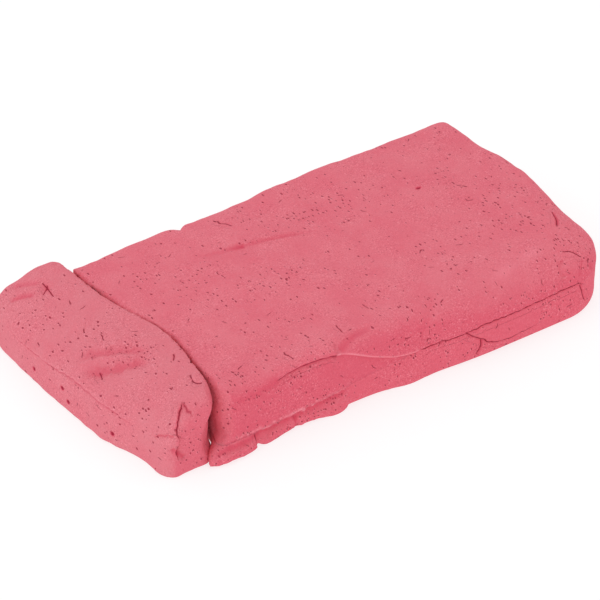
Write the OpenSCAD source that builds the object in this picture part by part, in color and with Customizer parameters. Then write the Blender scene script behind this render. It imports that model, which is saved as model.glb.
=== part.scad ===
// Detailing clay bar: a slab of soft abrasive clay pressed from two layers, with one end
// folded over against it. The crease between slab and end is closed at the back, where a
// web of clay still joins them, and stands open at the front.
//
// Frame: origin at the centre of the footprint on the underside. +X runs along the bar,
// from the folded end to the plain end, +Y to the back, where the web is, and +Z up.

/* [Bar] */
// Length of the whole bar
bar_length = 129.4; // [110:0.1:160]
// Width of the slab at the crease
slab_width = 63.5; // [54:0.5:80]
// Height of the slab along its crown
slab_height = 18; // [15:0.5:24]
// How much wider the slab is at its plain end
flare = 4.5; // [0:0.5:6]
// How far the plain end runs back from square, at its front corner
end_skew = 7; // [0:0.5:10]
// How far the plain end runs back from square, at its back corner
end_swell = 2; // [0:0.5:4]
// How far behind the middle the plain end stands out furthest
end_bow = 8; // [0:1:15]
// Radius of the bend where an end face stands out furthest
bow_radius = 60; // [30:5:80]

/* [Layers] */
// Thickness of the base layer under the slab
base_thickness = 6.5; // [4:0.5:8]
// How far the base layer is tucked in under the upper layer
base_tuck = 0.8; // [0.3:0.1:2]
// Rise of the crown over the width of the slab
crown = 0.9; // [0.3:0.1:2]
// Radius of the crown along its middle
crown_radius = 250; // [100:50:250]
// Radius of the slab's front shoulder
front_shoulder = 6.5; // [3:0.5:7]
// Radius of the slab's back shoulder
back_shoulder = 3; // [2:0.5:6]
// Radius of the shoulder at the plain end
end_shoulder = 5; // [2:0.5:7]
// Radius of the slab's plain corners, seen from above
plain_corner = 8; // [4:0.5:12]

/* [Ragged foot] */
// How far the lobes along the foot stand out
lobe_out = 1.2; // [0.5:0.1:2]
// Radius of a lobe
lobe_radius = 7; // [5:0.5:9]
// Distance from one lobe to the next
lobe_pitch = 12; // [8:0.5:16]
// Number of lobes along the foot
lobe_count = 3; // [1:1:4]

/* [Folded end] */
// Length of the folded end, along the bar
fold_length = 21.2; // [16:0.2:26]
// Height of the folded end at the crease
fold_height = 18.8; // [15:0.2:25]
// Height of the folded end's outer face, below its slope
fold_face = 10; // [6:0.5:12]
// How far the folded end stands out behind the slab
fold_overhang = 4.5; // [1:0.5:6]
// How far the folded end's outer face runs back from square, at its front corner
fold_skew = 3.5; // [0:0.5:6]
// How far in front of the middle the folded end's outer face stands out furthest
fold_bow = 11; // [0:1:14]
// Length of the flat on top of the folded end, beside the crease
fold_flat = 9.5; // [6:0.5:11]
// Radius of the roll from that flat down to the slope
fold_roll = 12.5; // [4:0.5:14]
// Radius of the folded end's outer corners, seen from above
fold_corner = 5; // [3:0.5:8]
// Radius of the folded end's front and back shoulders
fold_shoulder = 3; // [1:0.5:5]

/* [Crease] */
// Radius of the crease, seen from above
crease_radius = 145; // [100:5:250]
// How far in front of the middle the crease stands out furthest
crease_bow = 3; // [0:0.5:6]
// Gap between slab and folded end, all along the crease
crease_gap = 0.5; // [0.4:0.1:1.5]
// Radius of the upright edges at the crease
crease_edge = 3.2; // [2:0.2:4]
// How far the web reaches down into the crease from the back of the slab
web_depth = 3; // [1:0.1:4]
// How far the web lies below the top of the slab
web_drop = 4.5; // [3:0.5:6]
// Clearance between the web and the folded end
web_clearance = 0.15; // [0.05:0.05:0.3]

/* [Hidden] */
clay = [0.86, 0.43, 0.48];
clay_base = [0.80, 0.36, 0.43];
clay_fold = [0.89, 0.47, 0.52];

arc_steps = 8;        // straight pieces in each rounded corner of an outline
crease_steps = 12;    // straight pieces along the crease
spare = 10;           // how far a cutting shape runs past what it cuts
round_facets = 48;    // straight pieces in a whole circle
foot_round = 1.2;     // radius where a folded side meets the underside
foot_clearance = 0.4; // how far the web stays above the underside

// Along the bar
end_x = bar_length / 2;
outer_x = -bar_length / 2;
crease_x = outer_x + fold_length;                  // where the crease bows out furthest
// Across the bar. The flare is shared by both sides, and the overhang is at the back only.
half_flare = flare / 2;
back_y = (slab_width + half_flare - fold_overhang) / 2;
front_y = back_y - slab_width;
fold_back_y = back_y + fold_overhang;
middle_y = (front_y + back_y) / 2;
crease_y = middle_y - crease_bow;
crease_centre = [crease_x - crease_radius, crease_y];

function unit(v) = v / norm(v);

// The outline of a polygon, drawn anticlockwise. Each corner is [x, y, radius], and a corner
// of radius 0 stays a point.
function rounded(corners) = [
    for (i = [0 : len(corners) - 1])
        let (
            n = len(corners),
            here = [corners[i].x, corners[i].y],
            before = corners[(i + n - 1) % n],
            after = corners[(i + 1) % n],
            u = unit([before.x, before.y] - here),
            v = unit([after.x, after.y] - here),
            half = acos(u * v) / 2,
            r = corners[i].z,
            centre = here + unit(u + v) * r / sin(half),
            from = here + u * r / tan(half) - centre,
            turn = 180 - 2 * half,
            start = atan2(from.y, from.x)
        )
        for (k = [0 : r > 0 ? arc_steps : 0])
            centre + r * [cos(start + turn * k / arc_steps), sin(start + turn * k / arc_steps)]
];

// x on the crease at a given y. The slab's side has the crease's radius, and the folded
// end's is smaller by the gap.
function crease_at(y, radius) = crease_centre.x + sqrt(radius * radius - pow(y - crease_centre.y, 2));

// The upright axis that the folded end swings about, at the back of the crease. It turns
// clockwise, seen from above, to open the crease.
hinge = [crease_at(back_y, crease_radius), back_y];

// Points along the crease between two values of y, without its ends
function crease_line(radius, from_y, to_y) = [
    for (i = [1 : crease_steps - 1])
        let (y = from_y + (to_y - from_y) * i / crease_steps)
            [crease_at(y, radius), y, 0]
];

// The slab seen from above, drawn in by inset all round
module slab_plan(inset) {
    radius = crease_radius + inset;
    near_y = front_y + inset;
    far_y = back_y - inset;
    polygon(rounded(concat(
        [
            [crease_at(near_y, radius), near_y, crease_edge],
            [end_x - end_skew - inset, near_y - half_flare, plain_corner],
            [end_x - inset, middle_y + end_bow, bow_radius],
            [end_x - end_swell - inset, far_y + half_flare, plain_corner],
            [crease_at(far_y, radius), far_y, crease_edge]
        ],
        crease_line(radius, far_y, near_y)
    )));
}

// The folded end seen from above, drawn out by clearance at the crease
module fold_plan(clearance) {
    radius = crease_radius - crease_gap + clearance;
    polygon(rounded(concat(
        [
            [outer_x + fold_skew, front_y, fold_corner],
            [crease_at(front_y, radius), front_y, crease_edge]
        ],
        crease_line(radius, front_y, fold_back_y),
        [
            [crease_at(fold_back_y, radius), fold_back_y, crease_edge],
            [outer_x, fold_back_y, fold_corner],
            [outer_x, middle_y - fold_bow, bow_radius]
        ]
    )));
}

// The lobes of clay squeezed out along the front of the foot
module lobes()
    for (k = [0 : lobe_count - 1])
        translate([crease_x + crease_edge + lobe_radius + k * lobe_pitch, front_y + lobe_radius - lobe_out])
            circle(r = lobe_radius, $fn = round_facets);

// Runs a section drawn in Y and Z along the bar
module along_bar(from_x, to_x)
    translate([from_x, 0, 0])
        rotate([90, 0, 90])
            linear_extrude(to_x - from_x)
                children();

// Runs a section drawn in X and Z across the bar
module across_bar(from_y, to_y)
    translate([0, to_y, 0])
        rotate([90, 0, 0])
            linear_extrude(to_y - from_y)
                children();

module upper_layer() {
    shoulder_z = slab_height - crown;
    color(clay)
        intersection() {
            translate([0, 0, base_thickness])
                linear_extrude(slab_height - base_thickness)
                    slab_plan(0);
            // across: two shoulders under a crowned top
            along_bar(crease_x - spare, end_x + spare)
                polygon(rounded([
                    [front_y - half_flare, 0, 0],
                    [back_y + half_flare, 0, 0],
                    [back_y + half_flare, shoulder_z, back_shoulder],
                    [middle_y, slab_height, crown_radius],
                    [front_y - half_flare, shoulder_z, front_shoulder]
                ]));
            // along: square at the crease, with a shoulder at the plain end
            across_bar(front_y - spare, back_y + spare)
                polygon(rounded([
                    [crease_x - spare, 0, 0],
                    [end_x, 0, 0],
                    [end_x, slab_height, end_shoulder],
                    [crease_x - spare, slab_height, 0]
                ]));
        }
}

module base_layer()
    color(clay_base)
        linear_extrude(base_thickness) {
            slab_plan(base_tuck);
            lobes();
        }

module folded_end() {
    slope_x = crease_x - fold_flat;
    color(clay_fold)
        intersection() {
            linear_extrude(fold_height)
                fold_plan(0);
            // along: flat beside the crease, then sloping down to the outer face
            across_bar(front_y - spare, fold_back_y + spare)
                polygon(rounded([
                    [outer_x, 0, foot_round],
                    [crease_x + spare, 0, 0],
                    [crease_x + spare, fold_height, 0],
                    [slope_x, fold_height, fold_roll],
                    [outer_x, fold_face, fold_shoulder]
                ]));
            // across: a shoulder at the front and at the back
            along_bar(outer_x - spare, crease_x + spare)
                polygon(rounded([
                    [front_y, 0, foot_round],
                    [fold_back_y, 0, foot_round],
                    [fold_back_y, fold_height, fold_shoulder],
                    [front_y, fold_height, fold_shoulder]
                ]));
        }
}

// The web fills the notch between the slab's rounded back corner and the folded end's side
module web_section(slab_inset)
    difference() {
        translate(hinge - [crease_gap, slab_inset + web_depth])
            square([crease_edge * 1.5 + slab_inset, web_depth]);
        slab_plan(slab_inset);
        fold_plan(web_clearance);
    }

module crease_web()
    color(clay_base) {
        translate([0, 0, foot_clearance])
            linear_extrude(base_thickness - foot_clearance)
                web_section(base_tuck);
        translate([0, 0, base_thickness])
            linear_extrude(slab_height - web_drop - base_thickness)
                web_section(0);
    }

upper_layer();
base_layer();
folded_end();
crease_web();
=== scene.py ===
"""A bar of soft detailing clay: a slab pressed from two layers, with one end folded over
against it. The camera and the light come first, then the bar's pieces in the order that
they are put together, and the table it lies on last. Sizes are in millimetres, times MM.
"""
from types import SimpleNamespace

import bpy
import numpy as np
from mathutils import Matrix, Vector


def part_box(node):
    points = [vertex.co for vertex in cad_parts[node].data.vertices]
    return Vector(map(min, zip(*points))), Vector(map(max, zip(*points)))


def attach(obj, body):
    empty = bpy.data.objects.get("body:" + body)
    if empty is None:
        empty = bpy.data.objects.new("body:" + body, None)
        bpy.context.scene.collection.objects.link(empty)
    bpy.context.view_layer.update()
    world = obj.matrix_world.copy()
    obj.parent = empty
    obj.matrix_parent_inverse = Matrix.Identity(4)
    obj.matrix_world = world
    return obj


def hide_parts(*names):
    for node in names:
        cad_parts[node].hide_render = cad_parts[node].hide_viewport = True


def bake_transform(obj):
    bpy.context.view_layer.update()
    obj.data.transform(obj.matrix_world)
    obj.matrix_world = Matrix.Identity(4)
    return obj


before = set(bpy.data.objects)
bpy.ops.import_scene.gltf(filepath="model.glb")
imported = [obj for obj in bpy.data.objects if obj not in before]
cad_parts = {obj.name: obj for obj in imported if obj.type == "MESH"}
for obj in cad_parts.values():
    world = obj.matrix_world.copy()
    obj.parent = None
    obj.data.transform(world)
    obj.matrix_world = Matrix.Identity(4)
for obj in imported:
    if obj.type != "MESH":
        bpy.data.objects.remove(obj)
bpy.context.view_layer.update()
MM = 0.001

# ---------------------------------------------------------------------------------------
# Camera and light. A long lens looks down on the folded end and the front of the bar.
# One wide soft lamp stands over the folded end, a wider and weaker one low in front, and the
# room is pale all round.
# ---------------------------------------------------------------------------------------
camera = bpy.data.objects.new("camera", bpy.data.cameras.new("camera"))
bpy.context.scene.collection.objects.link(camera)
bpy.context.scene.camera = camera
camera.data.lens = 212.6
camera.data.clip_start = 0.01


def direction(azimuth, elevation):
    """The unit vector from the bar towards a point in the room. Azimuth 0 is in front of the
    bar and turns towards the plain end, and elevation is measured up from the table."""
    a, e = np.radians(azimuth), np.radians(elevation)
    return np.array([np.sin(a) * np.cos(e), -np.cos(a) * np.cos(e), np.sin(e)])


def aim(thing, place, target):
    """Puts a camera or lamp at a place, with its -Z axis towards the target."""
    thing.location = Vector(place)
    thing.rotation_mode = "QUATERNION"
    thing.rotation_quaternion = Vector(target - place).to_track_quat("-Z", "Y")


bar_middle = np.array([-5, -3, 9]) * MM
# How far the camera and the lamps stand from it, in metres
camera_distance = 0.8
lamp_distance = 1.2
aim(camera, bar_middle + camera_distance * direction(azimuth=-36.3, elevation=33.7), bar_middle)


def soft_lamp(name, azimuth, elevation, width, watts, colour):
    """A square lamp on a sphere round the bar, facing its middle. Its width is in metres."""
    lamp = bpy.data.objects.new(name, bpy.data.lights.new(name, "AREA"))
    lamp.data.size = width
    lamp.data.energy = watts
    lamp.data.color = colour
    aim(lamp, bar_middle + lamp_distance * direction(azimuth, elevation), bar_middle)
    bpy.context.scene.collection.objects.link(lamp)


soft_lamp("key_lamp", azimuth=-95, elevation=42, width=0.5, watts=2.2, colour=(0.6, 1.0, 1.0))
soft_lamp("front_lamp", azimuth=-25, elevation=14, width=0.8, watts=0.85, colour=(0.9, 1.0, 1.0))
room = bpy.data.worlds.new("room")
room.use_nodes = True
room.node_tree.nodes["Background"].inputs["Color"].default_value = (1.0, 0.96, 0.965, 1)
room.node_tree.nodes["Background"].inputs["Strength"].default_value = 0.9
bpy.context.scene.world = room
bpy.context.scene.view_settings.view_transform = "Standard"

# ---------------------------------------------------------------------------------------
# Upper layer of the slab. The thick skin of kneaded clay on top, rolled over at the front
# and the plain end, and lapped over itself along a ragged edge. It was pressed in one with
# the layer below, so the skin of the whole slab is worked first, and parted at their line.
# ---------------------------------------------------------------------------------------

# How far to each side of a hair crack its signed distance is kept in the skin
HAIR_REACH = 1.5


def block(low, high, cell):
    """The skin of a box as one mesh. Every face is a grid in two parameters, in whole steps
    of about one cell, and points are welded by their place (i, j, k) on the box's lattice.
    A skin also keeps, at each point, its first place on the box, the marks for painted shade,
    painted highlight and pits, and for two layers of hair cracks the signed distance across and the
    strength."""
    low, high = np.array(low, float), np.array(high, float)
    steps = np.round((high - low) / cell).astype(int)
    stride = np.array([1, steps[0] + 1, (steps[0] + 1) * (steps[1] + 1)])
    quads = []
    for axis in range(3):
        u, v = (axis + 1) % 3, (axis + 2) % 3
        i, j = np.meshgrid(np.arange(steps[u]), np.arange(steps[v]), indexing="ij")
        first = i * stride[u] + j * stride[v]
        across = first + stride[u] + stride[v]
        quad = np.stack([first, first + stride[u], across, first + stride[v]], -1).reshape(-1, 4)
        for side in (0, 1):
            turn = 1 if side else -1
            quads.append(quad[:, ::turn] + side * steps[axis] * stride[axis])
    keys, faces = np.unique(np.concatenate(quads), return_inverse=True)
    place = np.stack([keys % stride[1], keys // stride[1] % (steps[1] + 1), keys // stride[2]], -1)
    skin = SimpleNamespace(low=low, high=high, faces=faces.reshape(-1, 4))
    skin.points = low + place / steps * (high - low)
    skin.box = skin.points.copy()
    skin.hollow = np.zeros(len(keys))
    skin.pale = np.zeros(len(keys))
    skin.pits = np.zeros(len(keys))
    skin.hairs = np.tile([HAIR_REACH, 0.0, HAIR_REACH, 0.0], (len(keys), 1))
    return skin


def round_off(skin, low_corner, high_corner, top, foot):
    """Rounds the block. Its upright corners: a point keeps its ring, the share of the way from
    an inner box out to the nearest side, and is drawn onto the ellipse of that ring. Its top
    and bottom edges: in the plane of ring and height, a point is drawn in along its own spoke
    onto the ellipse of the given width and height. All of them may vary from point to point."""
    low_corner = np.stack(np.broadcast_arrays(*low_corner, skin.hollow)[:2], -1)
    high_corner = np.stack(np.broadcast_arrays(*high_corner, skin.hollow)[:2], -1)
    flat = skin.points[:, :2]
    inner = np.clip(flat, skin.low[:2] + low_corner, skin.high[:2] - high_corner)
    corner = np.where(flat < inner, low_corner, high_corner)
    share = (flat - inner) / corner
    ring = np.abs(share).max(1)
    spoke = share / np.maximum(np.linalg.norm(share, axis=1), 1e-9)[:, None]
    reach = np.maximum(np.linalg.norm(spoke * corner, axis=1), 1e-9)
    z = skin.points[:, 2]
    for (width, tall), edge, sense in ((top, skin.high[2], -1), (foot, skin.low[2], 1)):
        part = np.minimum(width / reach, 1)
        out = np.maximum((ring - 1 + part) / part, 0)
        up = np.maximum(1 - sense * (z - edge) / tall, 0)
        drawn = np.maximum(out, up) / np.maximum(np.hypot(out, up), 1e-9)
        both = (out > 0) & (up > 0)
        ring = np.where(both, 1 - part + part * out * drawn, ring)
        z = np.where(both, edge + sense * tall * (1 - up * drawn), z)
    skin.points = np.column_stack([inner + spoke * corner * ring[:, None], z])


def normals(skin):
    """Unit normals: at each point, the sum of the normals of the faces that meet there."""
    a, b, c, d = (skin.points[skin.faces[:, k]] for k in range(4))
    face = np.cross(c - a, d - b)
    total = np.zeros_like(skin.points)
    for k in range(4):
        np.add.at(total, skin.faces[:, k], face)
    return total / np.linalg.norm(total, axis=1)[:, None]


def ease(t):
    """0 below 0, 1 above 1, and 3t^2 - 2t^3 between."""
    t = np.clip(t, 0, 1)
    return t * t * (3 - 2 * t)


def bump(t):
    """A bell: exp(-t^2)."""
    return np.exp(-t * t)


def lumps(points, size, seed):
    """Smooth random relief, mostly between -1 and 1: the sum of a number of plane waves, each
    about one size long, over the root of their number. Their directions, lengths and phases
    come from the seed."""
    draw = np.random.default_rng(seed)
    count = 20
    heading = draw.normal(size=(count, 3))
    heading /= np.linalg.norm(heading, axis=1)[:, None]
    turns = 2 * np.pi / (size * draw.uniform(0.7, 1.6, count))
    phase = draw.uniform(0, 2 * np.pi, count)
    return np.cos(points @ (heading * turns[:, None]).T + phase).sum(1) / np.sqrt(count)


def relief(points, *layers):
    """Random relief in several sizes: the sum of lumps, each given as its height, size and
    seed, and scaled by its height."""
    return sum(height * lumps(points, size, seed) for height, size, seed in layers)


def line_over(skin, route, spacing=0.6):
    """Carries a route of a few points over the skin: a smooth curve through them (Catmull and
    Rom's cubic), at even steps, with each step moved along the normal onto the surface. Returns
    its points, headings, normals and the share of the way along."""
    steps = 12
    margin = 8
    route = np.array(route, float)
    ends = np.vstack([2 * route[0] - route[1], route, 2 * route[-1] - route[-2]])
    t = np.arange(steps)[:, None] / steps
    parts = []
    for k in range(len(route) - 1):
        p, q, r, s = ends[k : k + 4]
        parts.append(0.5 * (2 * q + (r - p) * t + (2 * p - 5 * q + 4 * r - s) * t**2
                            + (3 * q - p - 3 * r + s) * t**3))
    curve = np.vstack(parts + [route[-1:]])
    along = np.concatenate([[0], np.cumsum(np.linalg.norm(np.diff(curve, axis=0), axis=1))])
    even = np.linspace(0, along[-1], max(int(along[-1] / spacing), 3))
    curve = np.stack([np.interp(even, along, curve[:, k]) for k in range(3)], -1)
    low, high = curve.min(0) - margin, curve.max(0) + margin
    where = np.flatnonzero(np.all((skin.points > low) & (skin.points < high), axis=1))
    gaps = ((curve[:, None] - skin.points[where][None]) ** 2).sum(-1)
    nearest = where[gaps.argmin(1)]
    out = skin.normals[nearest]
    curve = curve + out * ((skin.points[nearest] - curve) * out).sum(1)[:, None]
    heading = np.gradient(curve, axis=0)
    heading /= np.linalg.norm(heading, axis=1)[:, None]
    return curve, heading, out, even / along[-1]


def crease(skin, route, depth=0.0, width=0.5, step=0.0, edge=0.35, reach=5.0, ends=(0.15, 0.15),
           shade=0.0, pale=0.0, thin=0.3, ragged=0.0, pits=0.0, hair=0.0, layer=0):
    """Works one crease into the skin, along a route. Each point moves along its normal by two
    terms: a groove, -depth times a bell of the distance over the width, and a step, up on the left
    of the route and down on the right, as steep as the edge is narrow, that fades over the reach.
    Both taper over the ends, given as shares of the route. The groove is marked for painted shade,
    a thin line on its raised side for a painted highlight and a band along it for pits, each by its
    own amount, and ragged shakes the line.
    Hair keeps the signed distance itself, from which the finish draws a crack of hair width:
    two cracks that cross go in layers 0 and 1."""
    curve, heading, out, share = line_over(skin, route)
    span = 3 * max(width, reach if step else 0, 1.5 if pale or pits else 0)
    low, high = curve.min(0) - span, curve.max(0) + span
    where = np.flatnonzero(np.all((skin.points > low) & (skin.points < high), axis=1))
    points = skin.points[where]
    nearest = ((points[:, None] - curve[None]) ** 2).sum(-1).argmin(1)
    away = points - curve[nearest]
    along = (away * heading[nearest]).sum(1)
    side = (away * np.cross(out[nearest], heading[nearest])).sum(1)
    side = side + ragged * lumps(points, 1.6, 7)
    above = np.abs((away * out[nearest]).sum(1))
    beyond = np.maximum(np.abs(along) - 0.5, 0)
    distance = np.sqrt(side**2 + beyond**2 + np.maximum(above - 1.5, 0) ** 2)
    strength = ease(share / max(ends[0], 1e-6)) * ease((1 - share) / max(ends[1], 1e-6))
    strength = strength[nearest] * bump(beyond / max(width, 0.6))
    facing = np.clip((skin.normals[where] * out[nearest]).sum(1), 0, 1)
    groove = -depth * bump(distance / width)
    lift = step / 2 * np.tanh(side / edge) * np.exp(-np.abs(side) / reach)
    skin.shift[where] += strength * facing * (groove + lift)
    skin.hollow[where] += shade * strength * facing * bump(distance / max(width, 0.22))
    raised = bump((side * (1 if step >= 0 else -1) - thin) / thin) * bump(distance / 2)
    skin.pale[where] += pale * strength * facing * raised
    skin.pits[where] += pits * strength * facing * bump(distance / 2.2)
    if hair:
        across = 2 * layer
        closer = (np.abs(side) < np.abs(skin.hairs[where, across])) & (above < 2)
        skin.hairs[where[closer], across] = side[closer]
        skin.hairs[where[closer], across + 1] = (hair * strength * facing)[closer]


def dent(skin, centre, size, depth=0.0, turn=0.0, pits=0.0, shade=0.0, pale=0.0):
    """Presses a soft oval dent into the skin, or raises a swelling where depth is negative: a bell
    of the distance from the centre, with the size's half-widths, turned about +Z. The same oval is
    marked for pits, painted shade and a painted highlight, each by its own amount."""
    x, y, z = (skin.points - np.array(centre, float)).T
    c, s = np.cos(np.radians(turn)), np.sin(np.radians(turn))
    away = np.stack([x * c + y * s, y * c - x * s, z], -1)
    bell = bump(np.linalg.norm(away / np.array(size, float), axis=1))
    skin.shift -= depth * bell
    skin.pits += pits * bell
    skin.hollow += shade * bell
    skin.pale += pale * bell


def settle(skin):
    """Moves every point along its normal by what has been worked in, and starts afresh."""
    skin.normals = normals(skin)
    if hasattr(skin, "shift"):
        skin.points = skin.points + skin.normals * skin.shift[:, None]
        skin.normals = normals(skin)
    skin.shift = np.zeros(len(skin.points))


def set_down(skin):
    """Stands the skin on the table: no point is lower than z = 0."""
    skin.points[:, 2] = np.maximum(skin.points[:, 2], 0)


def part_of(skin, keep):
    """One part of a skin: the faces that are kept, and only the points that they use, with all
    that the skin keeps at them."""
    used, faces = np.unique(skin.faces[keep], return_inverse=True)
    part = SimpleNamespace(faces=faces.reshape(-1, 4))
    for kept in ("points", "box", "hollow", "pale", "pits", "hairs"):
        setattr(part, kept, getattr(skin, kept)[used])
    settle(part)
    return part


def piece_from(skin, name, material, node):
    """Makes the Blender object: the grid's faces, a flat fan over any edges left open, and two
    colour attributes. One holds the marks: painted shade, painted highlight and pits. The other
    holds the hair cracks: a signed distance of nothing as a half and HAIR_REACH to either side as 0
    and 1, and beside it the strength.
    The object stands for a node of the frame, and that node's imported part is hidden."""
    faces = skin.faces
    count = len(skin.points)
    start, end = faces.ravel(), np.roll(faces, -1, axis=1).ravel()
    open_edge = ~np.isin(start * count + end, end * count + start)
    points = skin.points
    fans = np.zeros((0, 3), int)
    marks = np.stack([skin.hollow, skin.pale, skin.pits, np.ones(count)], -1)
    hairs = skin.hairs * [0.5 / HAIR_REACH, 1, 0.5 / HAIR_REACH, 1] + [0.5, 0, 0.5, 0]
    if open_edge.any():
        rim = start[open_edge]
        points = np.vstack([points, points[rim].mean(0)])
        marks = np.vstack([marks, [[0, 0, 0, 1]]])
        hairs = np.vstack([hairs, [[1, 0, 1, 0]]])
        fans = np.stack([end[open_edge], rim, np.full(len(rim), count)], -1)
    mesh = bpy.data.meshes.new(name)
    mesh.from_pydata((points * MM).tolist(), [], faces.tolist() + fans.tolist())
    mesh.polygons.foreach_set("use_smooth", np.arange(len(mesh.polygons)) < len(faces))
    for kind, values in (("marks", marks), ("hairs", hairs)):
        colours = mesh.color_attributes.new(kind, "FLOAT_COLOR", "POINT")
        colours.data.foreach_set("color", np.clip(values, 0, 1).astype(np.float32).ravel())
    mesh.materials.append(material)
    made = bpy.data.objects.new(name, mesh)
    bpy.context.scene.collection.objects.link(made)
    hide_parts(node)
    return made


# The last three colours are painted light: soft and deep painted shade, and rim the painted
# highlight
def clay_finish(name, base, painted_light_tint, soft_shade=(0.68, 0.075, 0.125, 1), deep_shade=(0.36, 0.022, 0.048, 1),
                rim=(0.97, 0.33, 0.39, 1)):
    """Kneaded clay: a dull pink-red with a fine grain, with painted light: a paler tint where it
    faces up or out of the folded end, towards the key lamp, painted highlights on the rims of pits,
    on the high points of the grain and on edges that stand proud, and painted shade, soft in
    hollows and deep in the grain's low points, in pits and in cracks. Each tint is laid over the
    last by an amount from 0 to 1. The clay is broken by pits and flecks that crowd together in torn
    patches, by a short crack or two, and by the hair cracks kept in the skin. All of these, the
    grain and a soft kneading add up to the height that the light sees."""
    material = bpy.data.materials.new(name)
    material.use_nodes = True
    tree = material.node_tree
    nodes, links = tree.nodes, tree.links
    shader = nodes["Principled BSDF"]
    shader.inputs["Roughness"].default_value = 0.85
    shader.inputs["Specular IOR Level"].default_value = 0.15
    shader.inputs["Subsurface Weight"].default_value = 0.05
    shader.inputs["Subsurface Radius"].default_value = (1.0, 0.25, 0.2)
    shader.inputs["Subsurface Scale"].default_value = 1.6 * MM

    def node(kind, inputs=(), **settings):
        """Adds a node. An input is linked where it is another node's output, and set if not."""
        made = nodes.new(kind)
        for key, value in settings.items():
            setattr(made, key, value)
        for key, value in dict(inputs).items():
            if isinstance(value, bpy.types.NodeSocket):
                links.new(value, made.inputs[key])
            else:
                made.inputs[key].default_value = value
        return made

    def noise(size, detail=2.0, roughness=0.5):
        """Soft noise with lumps of one size, in mm, and finer ones over them by the detail."""
        return node("ShaderNodeTexNoise", {"Scale": 1 / (size * MM), "Detail": detail,
                                           "Roughness": roughness, "Vector": at})

    def span(value, low, high, to_low=0.0, to_high=1.0):
        """Eases a value from one end to the other, as it goes from low to high."""
        return node("ShaderNodeMapRange", {"Value": value, "From Min": low, "From Max": high,
                                           "To Min": to_low, "To Max": to_high},
                    interpolation_type="SMOOTHSTEP").outputs["Result"]

    def sums(operation, a, b=0.0, clamp=False):
        """One sum on two numbers."""
        made = node("ShaderNodeMath", {0: a, 1: b}, operation=operation, use_clamp=clamp)
        return made.outputs["Value"]

    def move(operation, a, b):
        """One sum on two places, or on a place and a scale."""
        key = "Scale" if operation == "SCALE" else 1
        return node("ShaderNodeVectorMath", {0: a, key: b}, operation=operation).outputs["Vector"]

    def tint(amount, below, colour):
        """Lays a colour over the one below: that amount of it, and the rest of the other."""
        mix = node("ShaderNodeMix", data_type="RGBA")
        links.new(amount, mix.inputs["Factor"])
        for socket, value in ((mix.inputs["A"], below), (mix.inputs["B"], colour)):
            if isinstance(value, tuple):
                socket.default_value = value
            else:
                links.new(value, socket)
        return mix.outputs["Result"]

    at = node("ShaderNodeTexCoord").outputs["Object"]
    painted = node("ShaderNodeAttribute", attribute_name="marks").outputs["Color"]
    marks = node("ShaderNodeSeparateColor", {"Color": painted})
    hollow, pale, pitted = marks.outputs["Red"], marks.outputs["Green"], marks.outputs["Blue"]

    # Torn patches: some of their own, and wherever the surface was marked as pitted
    patches = sums("MULTIPLY", span(noise(13, 3, 0.6).outputs["Fac"], 0.5, 0.68), 0.6)
    patches = sums("ADD", patches, pitted, clamp=True)
    # Every place is shaken a little, so that no pit or crack is round or straight
    shaken = move("ADD", at, move("SCALE", noise(0.9, 1).outputs["Color"], 0.5 * MM))

    def pits(size, place, often, radius):
        """Spots: a ball round the middle of some cells, its radius by the cell's own chance."""
        cells = node("ShaderNodeTexVoronoi", {"Scale": 1 / (size * MM), "Vector": place})
        chance = node("ShaderNodeSeparateColor", {"Color": cells.outputs["Color"]})
        wide = sums("MULTIPLY", span(chance.outputs["Red"], 0.0, 1.0, 0.35, 1.0), radius)
        inside = sums("SUBTRACT", wide, cells.outputs["Distance"])
        chosen = sums("LESS_THAN", chance.outputs["Green"], often)
        return sums("MULTIPLY", span(inside, 0.0, 0.08), chosen)

    def longer(place):
        """Drawn out to twice the length across the bar, as the clay was pulled."""
        scale = (1.0, 0.5, 0.8)
        return node("ShaderNodeMapping", {"Vector": place, "Scale": scale}).outputs["Vector"]

    # Small flecks, each with a painted highlight on its rim that shows to one side of it, and a few
    # wider holes
    fleck_size = 0.55
    hole_size = 1.7
    often = sums("ADD", sums("MULTIPLY", patches, 0.48), 0.06)
    highlight_place = move("ADD", shaken, (0.15 * MM, 0.12 * MM, 0.12 * MM))
    flecks = pits(fleck_size, longer(shaken), often, 0.42)
    pit_highlights = pits(fleck_size, longer(highlight_place), often, 0.5)
    seldom = sums("ADD", sums("MULTIPLY", patches, 0.2), 0.04)
    holes = pits(hole_size, shaken, seldom, 0.2)

    # Short cracks: small thin blades turned every way, one to a cell, in some of the cells
    crack_cell = 4.2
    whole_turn = 6.28
    wavy = move("ADD", at, move("SCALE", noise(2.5, 1).outputs["Color"], 1.4 * MM))
    cells = node("ShaderNodeTexVoronoi", {"Scale": 1 / (crack_cell * MM), "Vector": wavy})
    away = move("SUBTRACT", wavy, cells.outputs["Position"])
    turn = move("SCALE", cells.outputs["Color"], whole_turn)
    turned = node("ShaderNodeVectorRotate", {"Vector": away, "Rotation": turn},
                  rotation_type="EULER_XYZ")
    blade = node("ShaderNodeSeparateXYZ", {"Vector": turned.outputs["Vector"]})
    thin = span(sums("ABSOLUTE", blade.outputs["X"]), 0.03 * MM, 0.11 * MM, 1.0, 0.0)
    short = span(sums("ABSOLUTE", blade.outputs["Y"]), 0.3 * MM, 0.8 * MM, 1.0, 0.0)
    shallow = span(sums("ABSOLUTE", blade.outputs["Z"]), 0.5 * MM, 1.0 * MM, 1.0, 0.0)
    short = sums("MULTIPLY", short, shallow)
    chance = node("ShaderNodeSeparateColor", {"Color": cells.outputs["Color"]}).outputs["Blue"]
    cracks = sums("MULTIPLY", sums("MULTIPLY", thin, short), sums("LESS_THAN", chance, 0.4))

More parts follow.
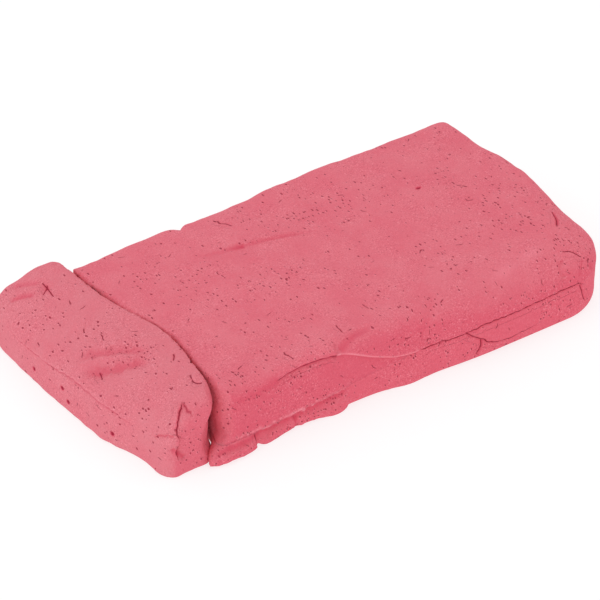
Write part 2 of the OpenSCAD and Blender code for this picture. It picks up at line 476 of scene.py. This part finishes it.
    # Hair cracks: a line where the signed distance kept in the skin passes through nothing,
    # which is a half in the attribute, with a little wavering
    kept = node("ShaderNodeAttribute", attribute_name="hairs")
    across = node("ShaderNodeSeparateColor", {"Color": kept.outputs["Color"]})
    waver = span(noise(0.5, 2).outputs["Fac"], 0.2, 0.8, -0.016, 0.016)
    lines = []
    for distance, strength in ((across.outputs["Red"], across.outputs["Green"]),
                               (across.outputs["Blue"], kept.outputs["Alpha"])):
        off = sums("ABSOLUTE", sums("ADD", sums("SUBTRACT", distance, 0.5), waver))
        lines.append(sums("MULTIPLY", span(off, 0.022, 0.05, 1.0, 0.0), span(strength, 0.05, 0.5)))
    hair = sums("MAXIMUM", *lines)

    broken = sums("MAXIMUM", sums("MAXIMUM", holes, flecks), cracks)
    fine = noise(0.34, 3, 0.65).outputs["Fac"]
    # Painted light: faces that turn up, or out of the folded end towards the key lamp, get a paler
    # tint, more in some places than in others
    normal = node("ShaderNodeNewGeometry").outputs["Normal"]
    turned_to = node("ShaderNodeSeparateXYZ", {"Vector": normal})
    outward = sums("MULTIPLY", turned_to.outputs["X"], -1.15)
    facing = sums("MAXIMUM", turned_to.outputs["Z"], outward)
    mottle = span(noise(8, 4, 0.6).outputs["Fac"], 0.3, 0.75, 0.55, 1.0)
    painted_light = sums("MULTIPLY", span(facing, 0.0, 1.0), mottle)
    colour = tint(painted_light, base, painted_light_tint)
    # The fine grain is painted pale where it stands high and dark where it is low: a painted
    # highlight and painted shade of its relief, stronger in some places than in others
    coarse = span(noise(9, 2).outputs["Fac"], 0.38, 0.62, 0.4, 1.0)
    grain_highlight = sums("MULTIPLY", span(fine, 0.51, 0.72), sums("MULTIPLY", coarse, 0.6))
    grain_shade = sums("MULTIPLY", span(fine, 0.47, 0.28), sums("MULTIPLY", coarse, 0.55))
    colour = tint(grain_highlight, colour, rim)
    # Painted highlights on the rims of the pits, to one side of each
    colour = tint(sums("MULTIPLY", pit_highlights, 0.3), colour, rim)
    colour = tint(grain_shade, colour, deep_shade)
    # Painted shade in the pits, holes and short cracks
    colour = tint(sums("MULTIPLY", broken, 0.85), colour, deep_shade)
    # Painted highlights on edges that stand proud
    colour = tint(sums("MULTIPLY", pale, 0.8), colour, rim)
    # Painted shade in the creases and dents, soft and then deep
    colour = tint(span(hollow, 0.0, 0.5), colour, soft_shade)
    colour = tint(span(hollow, 0.35, 1.0), colour, deep_shade)
    # Painted shade in the hair cracks
    colour = tint(sums("MULTIPLY", hair, 0.9), colour, deep_shade)
    links.new(colour, shader.inputs["Base Color"])

    grain = sums("MULTIPLY", fine, 0.10)
    knead = sums("MULTIPLY", noise(2.6, 3, 0.55).outputs["Fac"], 0.22)
    sunk = sums("MULTIPLY", sums("MAXIMUM", broken, hair), 0.25)
    height = sums("SUBTRACT", sums("ADD", grain, knead), sunk)
    bumps = node("ShaderNodeBump", {"Height": height, "Distance": 1.0 * MM, "Strength": 0.8})
    links.new(bumps.outputs["Normal"], shader.inputs["Normal"])
    return material


slab_high = np.array(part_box("upper_layer")[1]) / MM
# Where the crease lies along the bar before it is bowed
crease_x = -46.3


def crease_line(y):
    """How far along the bar the crease lies: almost straight at the back, bowed out towards the
    plain end by a bell in front of the middle, and back a little at the front by another."""
    return crease_x + 2.8 * bump((y + 8) / 13) - 0.5 * bump((y + 34) / 5)


def plain_end(y):
    """How far along the bar the plain end stands: drawn in by a parabola to the back, and by a
    millimetre to the front."""
    return slab_high[0] - 0.9 - 0.001 * np.maximum(y - 6, 0) ** 2 - 1.0 * ease(-y / 20)


def slab_plan(points):
    """Bends a straight slab to its outline: the left side to the crease, the right side to the
    plain end, each fading towards the middle; the back out by four soft steps, with a narrow
    and a wide notch; and the front out to a broad flare. At the foot of the front, the first
    lobe is drawn out to the front and to the left, where it fills the open crease."""
    x, y, z = points.T
    along = np.clip((x - crease_x) / (slab_high[0] - crease_x), 0, 1)
    to_crease = (crease_line(y) - crease_x) * (1 - ease(along * 2.5))
    to_plain_end = (plain_end(y) - slab_high[0]) * ease(along * 2 - 1)
    lobe_out = 5.8 * bump((y + 34) / 4.8) * ease((6.5 - z) / 4.5) * (1 - ease(along * 8))
    moved_x = x + to_crease + to_plain_end - lobe_out
    back = (-0.6 + 1.5 * ease((x + 47) / 7) + 0.3 * ease((x + 40) / 12) + 0.8 * ease((x + 6) / 20)
            + 0.9 * ease((x - 35) / 15) - 1.8 * bump((x + 17.6) / 1.6) - 0.7 * bump((x - 4.4) / 4))
    first_lobe = np.exp(-((x + 41.6) / 4.2) ** 4) * ease((5 - z) / 3)
    front = -2.8 * ease((x + 12) / 40) - 1.9 * first_lobe
    moved_y = y + np.where(y > 0, back * ease(y / 25), front * ease(-y / 25))
    return np.stack([moved_x, moved_y, z], -1)


def layer_line(x):
    """Height of the line between the layers: low at the fold, and up by three soft steps, where
    the upper layer thins, where the layers merge, and where the base is notched."""
    return 4.1 + 2.0 * ease((x + 33) / 22) + 2.0 * ease((x + 12) / 26) + 0.9 * ease((x - 14) / 8)


def slab_corners(skin):
    """How far the slab's upright corners are rounded, along the bar and across it: tight beside
    the crease, except at its open front, and broad at the front of the plain end."""
    x, y, z = skin.points.T
    beside_crease = 0.7 + 3.4 * bump((y + 34) / 5) * bump((z - 11) / 6)
    return (beside_crease, 4.5 + 9.5 * ease((x - 5) / 35)), (5.0 + 10.0 * ease(-y / 18), 3.5)


def on_front(skin):
    """1 on the slab's front face and 0 elsewhere: eased by how much the normal faces the front,
    and over the 8 mm in front of y = -20."""
    return ease(-skin.normals[:, 1] * 1.5) * ease((-skin.points[:, 1] - 20) / 8)


def foot_lobes(x):
    """How far the lobes along the front of the foot stand out: three swellings, the last one
    cut off short, less two thin nips."""
    return (0.9 * bump((x + 36) / 4.5) + 0.8 * bump((x - 3) / 5)
            + 1.2 * bump((x + 17) / 3.6) * (1 - ease((x + 14.5) / 1.5))
            - 1.1 * bump((x + 38) / 0.9) - 0.5 * bump((x + 27.6) / 0.8))


# The block's rows of cells: some for the base layer, and more for the upper one. Below, they
# are shared out again between the foot, the layer line and the top.
top_z = 17.8
layer_rows, upper_rows = 20, 30
row = top_z / (layer_rows + upper_rows)
slab = block([crease_x, -32.8, 0], [slab_high[0], 28.4, top_z], cell=row)
parted_at = top_z * layer_rows / (layer_rows + upper_rows)
x, y, z = slab.points.T
right = ease((x + 5) / 35) * ease(-y / 18)
round_off(slab, *slab_corners(slab), foot=(1.2, 2.5),
          top=(3.6 + 7.4 * right, 1.0 + (3.4 + 5.0 * right) * ease((x - crease_x) / 7)))
x, y, z = slab.points.T
base_z = z / parted_at * layer_line(x)
upper_z = top_z - (top_z - z) / (top_z - parted_at) * (top_z - layer_line(x))
slab.points[:, 2] = np.where(z < parted_at, base_z, upper_z)
slab.points = slab_plan(slab.points)
settle(slab)
x, y, z = slab.points.T
slab.shift += on_front(slab) * foot_lobes(x) * bump((z / layer_line(x) - 0.1) / 0.45)
slab.shift += ease(z / 3) * relief(slab.points, (0.26, 26, 11), (0.13, 10, 12), (0.05, 4, 13))
# The rough torn clay of the crease's side, fading out within 2 mm of it
near = bump((x - crease_line(y)) / 1.3)
slab.shift += near * relief(slab.points, (0.12, 3.5, 14), (0.06, 1.3, 15))
settle(slab)

# The creases and dents below paint shade into their grooves and hollows, and highlights on their
# raised sides
# The lapped edge: along the top of the front, down to the layer line, and on to the plain end
crease(slab, [(-44.8, -31.9, 14.8), (-42.2, -32.5, 13.3), (-35.3, -32.1, 13.7),
              (-31.8, -32.1, 14.5)],
       depth=0.25, width=1.2, step=0.7, edge=0.8, reach=4, ends=(0.2, 0.0), shade=0.25)
crease(slab, [(-33.5, -32.1, 14.2), (-28.4, -32.4, 15.4), (-24.8, -32.3, 15.6),
              (-20.6, -32.8, 15.6), (-16.9, -32.9, 15.1)],
       depth=0.5, width=0.38, step=1.1, edge=0.3, reach=4, ends=(0.25, 0.02),
       shade=0.5, pale=0.35, ragged=0.08, hair=1)
crease(slab, [(-17.3, -32.9, 15.1), (-13.8, -33.3, 14.1), (-8.5, -32.5, 11.2), (-4.0, -32.6, 9.3),
              (0.4, -33, 8), (4.2, -33.5, 7.6), (6.6, -33.7, 7.8)],
       depth=0.32, width=0.33, step=0.9, edge=0.28, reach=3, ends=(0.03, 0.1), shade=0.4, pale=1.3)
# The foot ridge, a thin lip of the upper layer that stands proud over the ragged band below, with a
# painted highlight along it, and the tight seam where the lapped edge meets the base layer, on
# towards the plain end, with painted shade in it
foot_ridge = [(x, -33, layer_line(x) + 0.1) for x in (-45, -40, -35, -30, -25, -20, -15, -11)]
seam = [(x, -34.5, layer_line(x)) for x in (5, 10, 15, 18, 22, 27, 33, 39, 45, 50.4)]
crease(slab, foot_ridge, depth=-0.28, width=0.28, pale=0.8, thin=0.2, ends=(0.05, 0.3),
       ragged=0.35, pits=0.4)
crease(slab, seam, depth=0.4, width=0.3, step=0.3, reach=1.5, shade=0.4, ends=(0.08, 0.02),
       ragged=0.1, hair=1)
# The line between the layers goes on along the back, hardly open
crease(slab, [(x, 30, layer_line(x)) for x in (-42, -30, -15, 0, 15, 30, 45, 58)],
       depth=0.25, width=0.4, step=0.25, reach=2, shade=0.15, ends=(0.05, 0.1), ragged=0.2, hair=0.3)
# The pocket that the lapped edge leaves in the top, and the soft folds beside it
crease(slab, [(-16.4, -33, 15.3), (-13.6, -31.8, 16.5), (-10.8, -31.1, 17), (-7.5, -31, 17.1),
              (-3.5, -31.2, 16.9)],
       depth=0.5, width=1.1, step=-0.7, edge=0.7, reach=4, ends=(0.1, 0.5), shade=0.3)
crease(slab, [(12.8, -28.1, 17.9), (10.4, -30.9, 17.4), (8.9, -32.6, 16), (6.8, -33.9, 13),
              (5.7, -33.6, 9.2)],
       depth=0.3, width=1.2, step=0.4, edge=1.0, shade=0.15, pits=1.2)
# The long groove across the top
crease(slab, [(-24.7, 15, 17.4), (-20.3, 14.3, 17.4), (-15.5, 13.3, 17.4), (-9.5, 11.9, 17.5)],
       depth=0.2, width=1.0, step=0.3, edge=0.8, reach=5, ends=(0.6, 0.0), shade=0.2)
crease(slab, [(-15.5, 13.3, 17.4), (-9.5, 11.9, 17.5), (-3.6, 10.4, 17.6), (1.1, 9.1, 17.6),
              (6, 8.1, 17.6), (12, 5.4, 17.6)],
       depth=0.4, width=0.5, step=0.5, edge=0.4, reach=6, ends=(0.25, 0.5), shade=0.25)
# Short cracks in the top: one behind the groove, and three near the lap
for route in ([(-9.5, 24.9, 17.8), (-8.5, 22.4, 17.9), (-7.3, 19.7, 18)],
              [(-27.7, -27.7, 17.4), (-27.3, -29.4, 17.4), (-27.1, -31.2, 17.1)],
              [(-12.6, -26.3, 17.9), (-12.7, -27.9, 18), (-12.9, -29.7, 17.9)],
              [(-2.4, -22.4, 18), (-2.2, -23.9, 18), (-2.3, -25.2, 18)]):
    crease(slab, route, depth=0.2, width=0.3, shade=0.2, ends=(0.1, 0.1), ragged=0.1, hair=1)
# The bent skin at the plain end: a short deep crease, and a square tuck below a thin crack
crease(slab, [(56.6, -16.9, 17.4), (55, -20.6, 17.6), (51.9, -24.6, 17.8)],
       depth=0.5, width=0.45, step=-0.4, edge=0.5, reach=3, shade=0.55, ends=(0.25, 0.25), hair=0.8)
crease(slab, [(48.1, -30.7, 16.2), (50.7, -31.6, 15.6), (52.7, -32.9, 14)],
       depth=0.2, width=0.3, shade=0.15, pits=0.5, ragged=0.1, hair=1)
crease(slab, [(47.4, -32.3, 15), (45.9, -33.6, 13.8), (46.1, -34.7, 11.8)],
       depth=0.4, width=0.6, step=0.3, reach=2, shade=0.12, pits=0.5)
crease(slab, [(52.4, -33.3, 13.7), (50.8, -34.8, 11.8), (50.2, -35.3, 10.5)],
       depth=0.25, width=0.5, shade=0.25)
crease(slab, [(55, -33.4, 12.2), (54.8, -34.2, 9.9)], depth=0.35, width=0.5, shade=0.3)
crease(slab, [(50.4, -34.9, 8.9), (51.5, -35, 6), (52.6, -35, 2.9)],
       depth=0.35, width=0.35, shade=0.35, ends=(0.02, 0.3), hair=1)
# The notch in the base, which parts it into a left and a right length
crease(slab, [(17.2, -35, 8.5), (21.5, -35.5, 5.5), (24.1, -35.6, 3.7), (28.8, -35.8, 2.7),
              (35.3, -35.8, 3), (43, -35.4, 3.1)],
       depth=0.5, width=0.35, step=0.5, reach=2, shade=0.35, ends=(0.02, 0.8),
       ragged=0.1, hair=1, layer=1)
crease(slab, [(21.6, -35.5, 5.4), (21.6, -35.5, 3.4), (20.2, -35.4, 1.2)],
       depth=0.5, width=0.4, shade=0.5, ends=(0, 0), hair=1)
# Two nips between the lobes of the foot
crease(slab, [(-38.1, -34, 3.9), (-37.9, -34, 0.5)],
       depth=0.35, width=0.4, shade=0.3, ends=(0.2, 0), hair=0.7)
crease(slab, [(-27.9, -34, 3.6), (-27.8, -34, 0.5)],
       depth=0.3, width=0.35, shade=0.4, ends=(0.2, 0))
# Where the clay is granular: torn patches on the top, on the panel and over the plain end
for place, size in (((14, 14, 18), (16, 6, 4)), ((-14, -4, 18), (9, 5, 4)),
                    ((-29, 4, 18), (6, 4, 4)), ((50, -10, 18), (9, 12, 6)),
                    ((33, -35, 11.6), (5, 3, 2)), ((52, -30, 14), (7, 5, 5)),
                    ((-27, -32, 11), (3, 3, 4)), ((-18.6, -32, 13), (4, 3, 2)),
                    ((-35, -33, 9), (9, 3, 4)), ((-44, -32, 11), (3, 3, 3)),
                    ((-32, -33, 2.5), (5, 3, 2)), ((-17, -33, 3.5), (4, 3, 2))):
    dent(slab, place, size, pits=0.8)
# One larger hole in the top, with painted shade in it, and two painted highlights on the rolled
# edge over the front
dent(slab, (36.7, 7.4, 18), (0.55, 0.4, 1), depth=0.4, shade=2.0)
dent(slab, (31.5, -30.5, 16.7), (3.5, 1.4, 2), turn=10, pale=0.3)
dent(slab, (40.5, -28.6, 17.3), (3, 1.4, 2), turn=10, pale=0.3)
settle(slab)
set_down(slab)

face_rows = slab.box[slab.faces, 2].mean(1)
upper = part_of(slab, face_rows > parted_at)
clay = clay_finish("kneaded_clay", base=(0.725, 0.11, 0.163, 1), painted_light_tint=(0.775, 0.184, 0.23, 1))
slab_top = piece_from(upper, "slab_top", clay, "upper_layer")
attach(slab_top, "slab")

# ---------------------------------------------------------------------------------------
# Base layer of the slab. The lower third, more ragged than the top: tucked in under the
# upper layer's edge, with lobes of clay squeezed out along the front of the foot.
# ---------------------------------------------------------------------------------------
base = part_of(slab, face_rows < parted_at + row)
# Its topmost row runs on behind the upper layer's rim, so that no gap shows between the two
behind_rim = 0.25
base.shift -= behind_rim * (base.box[:, 2] > parted_at + row / 2)
settle(base)
# The ragged band below the foot ridge: the front of the base, left of where the layers merge
x, y, z = base.points.T
height = z / layer_line(x)
ragged_band = on_front(base) * (ease((-x - 12) / 5) * ease((1 - height) / 0.08))
base.shift -= 0.45 * ragged_band * bump((height - 0.8) / 0.2)
base.shift += 0.2 * lumps(base.points, 1.6, 23) * ragged_band * ease(z)
base.pits += ragged_band * bump((height - 0.6) / 0.4)
# Painted shade in the band just under the lip of the upper layer
base.hollow += 0.3 * ragged_band * bump((height - 0.85) / 0.2)
settle(base)
set_down(base)
clay_base = clay_finish("kneaded_clay_base", base=(0.75, 0.122, 0.174, 1),
                        painted_light_tint=(0.765, 0.178, 0.225, 1))
slab_foot = piece_from(base, "slab_foot", clay_base, "base_layer")
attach(slab_foot, "slab")

# ---------------------------------------------------------------------------------------
# Folded end. The end of the bar, folded over and pressed against the slab: flat beside the
# crease, sloping down to the outer face, and pinched and pleated at its front corner.
# ---------------------------------------------------------------------------------------
crease_gap = 0.4
fold_low, fold_high = (np.array(corner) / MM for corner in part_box("folded_end"))
fold_top = fold_high[2] - 0.2


def fold_plan(points, open_front):
    """Bends a straight lump to the folded end. Beside the crease it follows the crease's line,
    and draws back where the crease opens at the front, most at mid height. The outer face is
    drawn in by a step at the front and a parabola at the back. The back edge steps out at its
    outer end, with two soft notches. The top falls to the outer face by a power of the share
    of the way out."""
    x, y, z = points.T
    out = np.clip((fold.high[0] - x) / (fold.high[0] - fold.low[0]), 0, 1)
    to_crease = (crease_line(y) - crease_x) * (1 - out)
    outer_face = (3.2 * ease((-y - 9) / 15) + 0.0018 * np.maximum(y - 5, 0) ** 2) * out**2
    wedge = (1.0 + 2.4 * ease((15 - z) / 7) - 2.3 * ease((5 - z) / 4)) * open_front
    drawn_back = (wedge + 0.2 * bump((y + 22) / 7)) * (1 - out)
    moved_x = x + to_crease + outer_face - drawn_back
    back = (1.0 * ease((-55 - moved_x) / 5) - 2.4 * bump((moved_x + 46) / 4.5)
            - 0.7 * bump((moved_x + 53) / 5))
    moved_y = y + back * ease((y - 15) / 12)
    moved_z = z * (fold_top - 8.4 * out**1.8) / fold_top
    return np.stack([moved_x, moved_y, moved_z], -1)


fold = block([fold_low[0], -32.2, 0], [crease_x - crease_gap, fold_high[1] - 0.4, fold_top],
             cell=0.27)
x, y, z = fold.points.T
open_front = bump((y + 33) / 6)
sharper = ease(y / 20)
round_off(fold, (5.5 - 3.0 * sharper, 5.0 - 2.5 * sharper),
          (0.9 + 2.8 * open_front + 1.6 * sharper, 5.0), foot=(1.0, 2.4),
          top=(2.4 + 1.5 * ease((-y - 22) / 8), 2.2 + 3.2 * ease((-y - 24) / 8)))
fold.points = fold_plan(fold.points, open_front)
settle(fold)
x, y, z = fold.points.T
rough = ease(z / 3) * ease((crease_x - x) / 2)
fold.shift += rough * relief(fold.points, (0.25, 20, 31), (0.12, 9, 32))
fold.shift += 0.05 * lumps(fold.points, 4, 33)
# The torn clay of the crease's side only goes inward here, and deepest near the front
near = bump((x - crease_line(y) + crease_gap) / 1.3)
torn = 1 + 1.2 * bump((y + 20) / 7)
fold.shift -= near * torn * np.abs(relief(fold.points, (0.14, 3.5, 34), (0.12, 1.3, 35)))
settle(fold)
# The creases and dents below paint shade into their grooves and hollows, and highlights on their
# raised sides
# Two soft dents run up the slope to the crease, with a ridge and a torn patch between them
crease(fold, [(-62.5, 3, 11.6), (-59.7, 1.6, 13.1), (-56, -2.8, 15.2), (-52.3, -7.2, 16.6),
              (-49.9, -11.9, 18)],
       depth=0.6, width=1.2, shade=0.22, ends=(0.25, 0.3), pits=1.2, ragged=0.25)
crease(fold, [(-63, -0.4, 11), (-60.5, -3.9, 12.3), (-56.9, -8.2, 14.6), (-53.9, -10.8, 16),
              (-52.1, -14.5, 17.2)],
       depth=0.9, width=1.6, shade=0.27, ends=(0.25, 0.3), pits=0.8, ragged=0.25)
crease(fold, [(-62.4, 1.2, 11.6), (-59.3, -1.6, 13.5), (-54, -7.6, 16.5)],
       depth=-0.35, width=0.8, pale=0.1)
dent(fold, (-50.9, -11.5, 18), (3, 4.5, 3), pits=1.0)
crease(fold, [(-47.7, -14.5, 18.4), (-48.1, -15.7, 18.3), (-49.3, -16.9, 18.1)],
       depth=0.25, width=0.3, shade=0.3, hair=1, ends=(0.1, 0.1))
# The pinch near the back: two short creases that cross, and soft wrinkles out of it
crease(fold, [(-54.2, 27.4, 16.7), (-54.2, 25.2, 16.3), (-55.1, 21.2, 16.5)],
       depth=0.25, width=0.3, shade=0.25, hair=1)
crease(fold, [(-53.7, 26, 16.9), (-54.8, 25, 16.3), (-56.5, 24, 15.8)],
       depth=0.25, width=0.3, shade=0.2, hair=1, layer=1)
dent(fold, (-54.4, 25.6, 16.4), (1.6, 1.6, 1.6), depth=0.25, shade=0.12)
crease(fold, [(-58.9, 33.4, 14.2), (-57.5, 31.9, 14.8), (-56, 29.6, 15.8), (-54.4, 27.6, 16.7)],
       depth=0.35, width=0.8, shade=0.22)
crease(fold, [(-61.3, 30.8, 12.6), (-58.7, 28.3, 14.2), (-57, 25.7, 15.3)],
       depth=0.4, width=0.8, shade=0.28)
# Hair cracks: two in the middle of the slope, one at its outer edge, and one in the dent
for route in ([(-55.9, 8.2, 16), (-56.8, 6.1, 15.6)], [(-54.5, 3.2, 16.6), (-55.6, 0.6, 16.2)],
              [(-63.2, 15.8, 11), (-63.9, 13.9, 10.4)], [(-60, -4.1, 12.7), (-61.1, -7.3, 12.4)]):
    crease(fold, route, depth=0.15, width=0.3, shade=0.15, ends=(0.1, 0.1), ragged=0.1, hair=1)
# Where the clay is granular, and four round holes in the outer face, with painted shade in them
for place, size in (((-56, 6, 16), (4, 5, 4)), ((-58, 16, 15), (3, 5, 4)),
                    ((-60.5, -24, 9), (3, 4, 3)), ((-55, -21, 17), (4, 4, 3)),
                    ((-54, -32, 8), (2.5, 2, 4))):
    dent(fold, place, size, pits=0.5)
for place in ((-64.3, 15.9, 3.9), (-64.6, 3.9, 5.6), (-64.4, 2, 2.9), (-63.8, -14.6, 3.7)):
    dent(fold, place, (0.4, 0.4, 0.4), depth=0.3, shade=2.5)
# The edge between the slope and the outer face: a thin line with painted shade in it and a painted
# highlight above
crease(fold, [(-63.8, 28.9, 9.3), (-64.1, 20.4, 8.1), (-64.6, 9.4, 8.9), (-64.2, 0.6, 9.8),
              (-64.1, -8.6, 9.6), (-63.3, -14.9, 9.3), (-61.9, -20.9, 8.1), (-61.2, -25.4, 8.5)],
       depth=0.2, width=0.25, step=0.3, edge=0.3, reach=2, ends=(0.05, 0.2),
       shade=0.25, pale=0.2, ragged=0.12, hair=0.17)
# The pleats of the front corner: a long one down it, one off its top and two across
crease(fold, [(-54.6, -28.1, 16.4), (-56.9, -30.1, 14.5), (-58.4, -31.2, 11.9),
              (-58, -31.4, 9.5), (-58.6, -31.6, 6.6), (-58.6, -32.2, 4.2)],
       depth=0.45, width=0.28, step=-0.9, edge=0.35, reach=2.5, ends=(0.15, 0.1),
       shade=0.35, pale=0.3, ragged=0.15, hair=1)
crease(fold, [(-54.8, -28.4, 16.3), (-54.7, -30.9, 14.8), (-53.7, -32, 13.2)],
       depth=0.4, width=0.3, step=0.4, edge=0.3, reach=1.5, ends=(0.05, 0.5),
       shade=0.3, ragged=0.15, hair=0.25, layer=1)
crease(fold, [(-61.2, -26, 8.5), (-60.1, -29.2, 10.1), (-58.7, -31.4, 10.7)],
       depth=0.35, width=0.3, step=0.5, reach=2, shade=0.25, ends=(0.3, 0.05),
       ragged=0.1, hair=0.1)
crease(fold, [(-59.7, -31, 8), (-57.9, -31.2, 5.6), (-56.8, -31.6, 4.3)],
       depth=0.4, width=0.7, shade=0.3)
dent(fold, (-60.6, -29.6, 2.4), (3, 3, 3), depth=-0.4)
# Painted shade low in the open crease at the fold's front corner
dent(fold, (-49.5, -32, 2), (1.8, 2.5, 3), shade=0.4)
dent(fold, (-55.2, -29.6, 15.4), (1.2, 1.2, 1.2), depth=0.2, shade=0.15)
# The torn lip of the crease where it opens at the front
crease(fold, [(-49.3, -23.1, 18.3), (-49.9, -26, 18), (-48.6, -27.4, 18)],
       depth=0.3, width=0.4, step=0.4, reach=1.5, shade=0.2, pale=0.3, hair=0.8, ragged=0.1)
settle(fold)
set_down(fold)
clay_fold = clay_finish("kneaded_clay_fold", base=(0.735, 0.138, 0.188, 1),
                        painted_light_tint=(0.735, 0.2, 0.24, 1))
folded_end = piece_from(fold, "fold", clay_fold, "folded_end")
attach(folded_end, "fold")

# ---------------------------------------------------------------------------------------
# Crease web. The strip of clay left at the back of the crease. It joins the folded end to the slab.
# ---------------------------------------------------------------------------------------
web_low, web_high = (np.array(corner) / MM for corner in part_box("crease_web"))
web = block(web_low, web_high, cell=0.25)
corner = (0.8, 0.8)
edge = (0.8, 1.2)
round_off(web, corner, corner, top=edge, foot=edge)
settle(web)
web.shift += 0.12 * lumps(web.points, size=2, seed=41)
settle(web)
clay_web = clay_finish("torn_clay", base=(0.68, 0.09, 0.14, 1), painted_light_tint=(0.7, 0.13, 0.18, 1))
strip = piece_from(web, "web", clay_web, "crease_web")
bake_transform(strip)

# ---------------------------------------------------------------------------------------
# Table. A plain pale top, which isn't part of the bar.
# ---------------------------------------------------------------------------------------
bpy.ops.mesh.primitive_plane_add(size=6)
table = bpy.context.object
table.name = "table"
table_top = bpy.data.materials.new("pale_table")
table_top.use_nodes = True
table_shader = table_top.node_tree.nodes["Principled BSDF"]
table_shader.inputs["Base Color"].default_value = (0.3, 0.3, 0.3, 1)
table_shader.inputs["Roughness"].default_value = 0.9
table_shader.inputs["Emission Color"].default_value = (1, 1, 1, 1)
table_shader.inputs["Emission Strength"].default_value = 0.72
table.data.materials.append(table_top)
